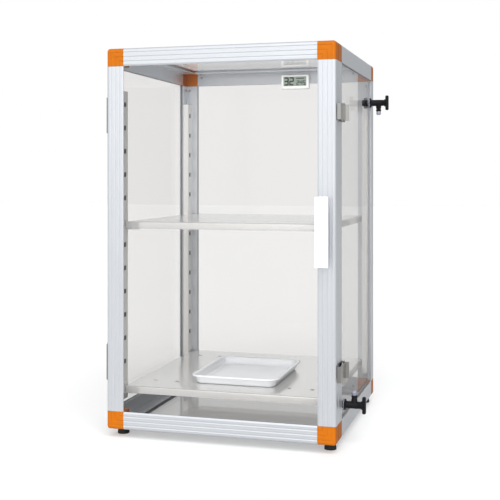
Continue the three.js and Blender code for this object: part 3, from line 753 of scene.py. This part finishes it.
def make_tap(name):
    """A black plug tap with a ribbed collar, a clear washer, a lock nut inside and a hose nose."""
    handle_low, handle_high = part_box(f"{name}_handle")
    y = (handle_low.y + handle_high.y) / 2
    z = (handle_low.z + handle_high.z) / 2
    panel_low, panel_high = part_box("right_panel")
    outer = panel_high.x
    wall = outer - panel_low.x
    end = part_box(f"{name}_body")[1].x - outer
    axis = Matrix.Translation((outer, y, z)) @ Matrix.Rotation(math.radians(90), 4, "Y")
    barrel = [(0.0, 2.0), (8.6, 2.0), (9.0, 2.4), (9.0, 3.6), (8.6, 4.0), (6.4, 4.4), (6.0, 5.0)]
    barrel = [(r * MM, h * MM) for r, h in barrel]
    for step in range(GROOVES):
        start = GROOVE_START + GROOVE_PITCH * step
        barrel += [(6.0 * MM, start), (5.5 * MM, start + 0.3 * MM), (5.5 * MM, start + 0.9 * MM),
                   (6.0 * MM, start + 1.2 * MM)]
    barrel += [(6.0 * MM, end - 0.4 * MM), (5.6 * MM, end), (SOCKET_RADIUS, end),
               (SOCKET_RADIUS, end - SOCKET_DEPTH), (0.0, end - SOCKET_DEPTH)]
    stem_turn = 0 if name.startswith("inlet") else math.pi
    stem = Matrix.Translation((outer + TAP_OUTLET_X, y, z)) @ Matrix.Rotation(stem_turn, 4, "X")
    neck = [(0.0, 0.0), (5.0, 0.0), (5.0, 9.6), (4.6, 10.4), (4.2, 11.0), (4.2, 12.4), (4.9, 12.8),
            (4.9, 15.0), (4.3, 16.2), (0.0, 16.2)]
    neck = [(r * MM, h * MM) for r, h in neck]
    black = join(moved(lathe(barrel), axis), moved(lathe(neck, 24), stem))
    piece = make_piece(f"{name}_barrel", *black, black_plastic, "cabinet", "tap_plastic", 40)
    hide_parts(f"{name}_body")
    nose = [(3.9, 16.2), (4.1, 17.0), (4.1, 18.8), (4.7, 19.4), (4.7, 20.3), (3.9, 20.9), (3.7, 22.4),
            (3.3, 23.0), (1.8, 23.0), (1.8, 16.2)]
    nose = moved(turned_ring([(r * MM, h * MM) for r, h in nose], 24), stem)
    make_piece(f"{name}_nose", *nose, nose_plastic, "cabinet", "fitting_steel", 40)
    washer = moved(turned_ring([(6.2 * MM, 0.3 * MM), (9.4 * MM, 0.3 * MM), (9.4 * MM, 1.9 * MM),
                                (6.2 * MM, 1.9 * MM)]), axis)
    make_piece(f"{name}_washer", *washer, nose_plastic, "cabinet", "tap_plastic", 30)
    spigot = moved(lathe([(0.0, -wall - 9 * MM), (5.6 * MM, -wall - 9 * MM), (6.1 * MM, -wall - 8.4 * MM),
                          (6.1 * MM, 2.0 * MM), (0.0, 2.0 * MM)]), axis)
    make_piece(f"{name}_spigot", *spigot, black_plastic, "cabinet", "tap_plastic", 30)
    nut = moved(turned_ring([(6.15 * MM, -wall - 5.6 * MM), (10.4 * MM, -wall - 5.6 * MM),
                             (10.4 * MM, -wall - 0.4 * MM), (6.15 * MM, -wall - 0.4 * MM)], 6), axis)
    make_piece(f"{name}_nut", *nut, black_plastic, "cabinet", "tap_plastic", 0)


# ---- Thermo-hygrometer --------------------------------------------------------------------------

# The segments of a figure on a display, as [x, z] ends in a cell one wide and two high.
SEGMENTS = {
    "a": ((0, 2), (1, 2)), "b": ((1, 2), (1, 1)), "c": ((1, 1), (1, 0)), "d": ((0, 0), (1, 0)),
    "e": ((0, 1), (0, 0)), "f": ((0, 2), (0, 1)), "g": ((0, 1), (1, 1)),
}
FIGURES = {"2": "abged", "3": "abgcd", "4": "fgbc", "5": "afgcd"}


def figure(digit, x, z, width, thickness, y):
    """The lit segments of one digit as thin bars in front of the display."""
    bars = []
    for letter in FIGURES[digit]:
        (x0, z0), (x1, z1) = SEGMENTS[letter]
        half, overlap = thickness / 2, 0.1 * thickness
        low = [x + min(x0, x1) * width, y, z + min(z0, z1) * width]
        high = [x + max(x0, x1) * width, y + 0.15 * MM, z + max(z0, z1) * width]
        level = z0 == z1
        low[0] -= overlap if level else half
        high[0] += overlap if level else half
        low[2] -= half if level else overlap
        high[2] += half if level else overlap
        bars.append(box_shape(low, high))
    return bars


def make_display():
    """The hygrometer's display, with two figures of different sizes and a bar over the second."""
    low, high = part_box("hygrometer")
    side, below, above, sunk = 5 * MM, 6 * MM, 4 * MM, 1 * MM
    back = low.y + sunk
    window = ([low.x + side + 0.2 * MM, back - 0.5 * MM, low.z + below + 0.2 * MM],
              [high.x - side - 0.2 * MM, back - 0.05 * MM, high.z - above - 0.2 * MM])
    make_piece("hygrometer_display", *box_shape(*window), display, "cabinet", "meter_plastic", 0)
    face = back - 0.7 * MM
    bars = []
    left, bottom = window[0][0], window[0][2]
    for k, digit in enumerate("32"):
        bars += figure(digit, left + (2.6 + 10.6 * k) * MM, bottom + 2.6 * MM, 6.8 * MM, 2.5 * MM, face)
    for k, digit in enumerate("245"):
        bars += figure(digit, left + (27.2 + 6.4 * k) * MM, bottom + 2.2 * MM, 3.9 * MM, 1.4 * MM, face)
    bars.append(box_shape([left + 26 * MM, face, bottom + 14.2 * MM],
                          [left + 42 * MM, face + 0.15 * MM, bottom + 15.8 * MM]))
    make_piece("hygrometer_digits", *join(*bars), digit_ink, "cabinet", "meter_plastic", 0)


# ---- Sample tray --------------------------------------------------------------------------------


TRAY_CORNER = 22 * MM
TRAY_LEAST_CORNER = 3 * MM


def make_tray():
    """A shallow glazed tray with a rolled rim, sloping sides and a soft step round its floor."""
    low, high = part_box("sample_tray")
    centre = (low + high) / 2
    half = (high - low) / 2
    # Each ring is [distance in from the rim, height], from the underside's middle to the floor's.
    section = [(60, 0.6), (14, 0.6), (12, 0.0), (10, 0.0), (8.6, 0.8), (7.0, 4.0), (5.6, 9.8),
               (4.6, 11.6), (2.6, 12.2), (1.0, 11.8), (0.2, 12.2), (0.0, 13.2), (0.4, 14.4), (1.6, 15.0),
               (4.6, 14.9), (6.4, 14.2), (7.6, 12.4), (9.0, 7.6), (10.6, 3.6), (12.6, 2.2), (16.0, 2.0),
               (60, 2.0)]
    rings = []
    for inset, z in section:
        inset, z = inset * MM, z * MM
        radius = max(TRAY_CORNER - inset, TRAY_LEAST_CORNER)
        rings.append(rounded_ring(centre, half.x - inset, half.y - inset, radius, low.z + z))
    points, faces = walls(rings)
    count = len(rings[0])
    faces.append(list(range(count)))
    faces.append(list(range(len(points) - count, len(points))))
    piece = make_piece("tray_shell", points, faces, tray_glaze, "tray", "tray_plastic", 60)
    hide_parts("sample_tray")


# ---- Assembly -----------------------------------------------------------------------------------

make_camera()
make_world()
make_lights()
make_floor()
dress_nodes()
make_corners()
make_screws()
make_hinge_screws()
make_painted_slot_shade()
for tap_name in ("outlet_tap", "inlet_tap"):
    make_tap(tap_name)
make_display()
make_tray()
for shelf_name in ("lower_shelf", "upper_shelf"):
    make_shelf(shelf_name)

bpy.context.scene.view_settings.view_transform = "Standard"
